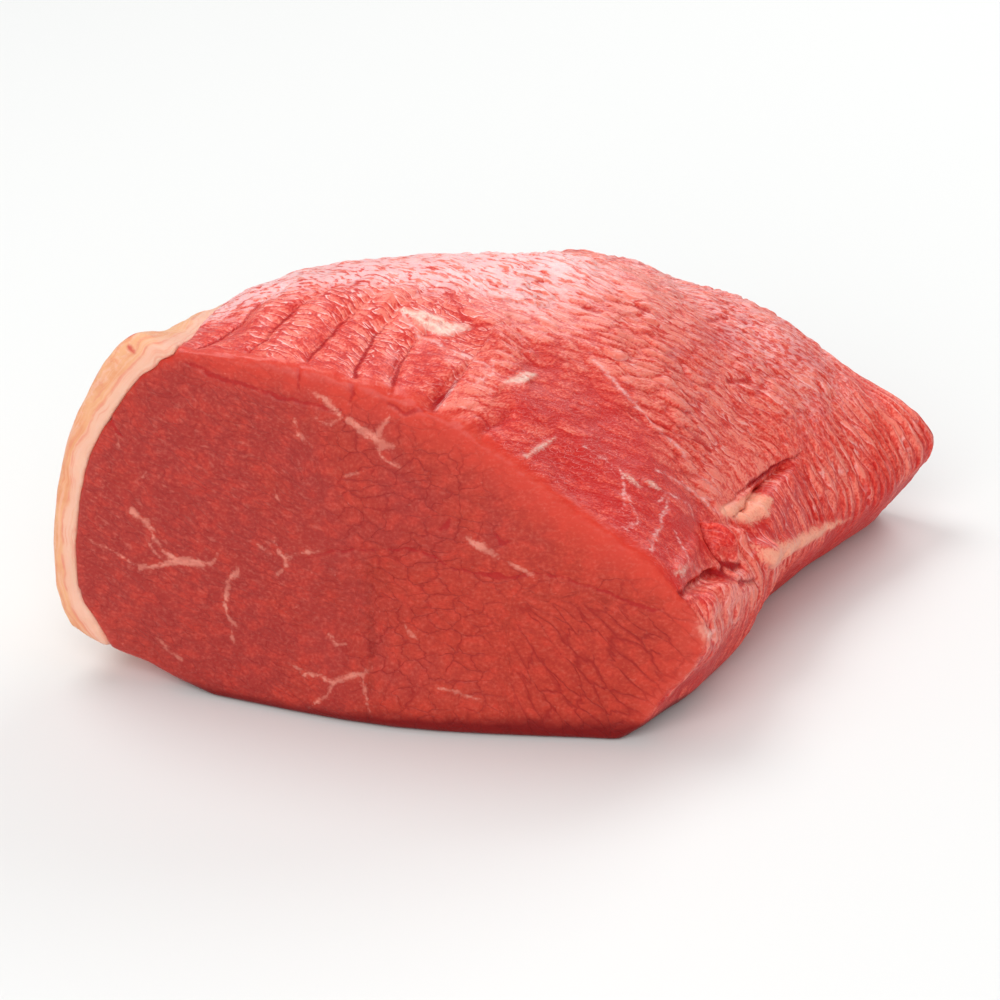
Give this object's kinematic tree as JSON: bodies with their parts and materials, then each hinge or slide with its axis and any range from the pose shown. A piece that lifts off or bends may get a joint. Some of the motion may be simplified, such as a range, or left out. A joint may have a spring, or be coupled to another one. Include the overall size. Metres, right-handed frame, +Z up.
{
  "type": "raw beef roasting joint",
  "caption": "Raw boneless beef joint for roasting, cut across the grain at both ends, with a cap of fat left on one side and a flat underside to lie on.",
  "frame": {"origin": "middle of the bounding box's base, on the flat underside", "axes": "+Z up from the underside; -Y out of the front cut face, with the grain running along Y; the fat cap is on the -X side"},
  "size_m": [0.1736, 0.1824, 0.0997],
  "materials": {
    "lean": "moist raw lean beef, even soft gloss",
    "fat": "firm cream-coloured beef fat, satin"
  },
  "bodies": {
    "root": {"lean": "lean", "fat_cap": "fat"}
  },
  "joints": []
}
